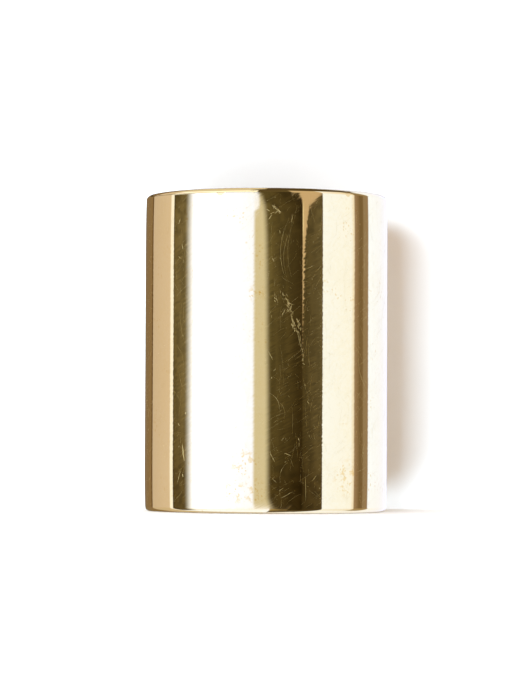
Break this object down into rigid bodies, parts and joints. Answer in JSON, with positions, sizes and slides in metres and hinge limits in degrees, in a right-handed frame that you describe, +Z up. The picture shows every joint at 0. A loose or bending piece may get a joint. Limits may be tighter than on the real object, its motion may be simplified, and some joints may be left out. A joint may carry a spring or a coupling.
{
  "type": "guitar slide",
  "caption": "Short solid brass tube worn on a finger and glided along guitar strings, with a straight bore and rounded edges at both ends.",
  "frame": {"origin": "where the bore's axis meets the lower end face, which the slide stands on", "axes": "+Z up along the bore's axis; +X and +Y across, and no side differs from another"},
  "size_m": [0.022, 0.022, 0.0286],
  "materials": {
    "brass": "polished by hand, with fine scratches and a few dark spots of tarnish"
  },
  "bodies": {
    "root": {"slide_tube": "brass"}
  },
  "joints": []
}
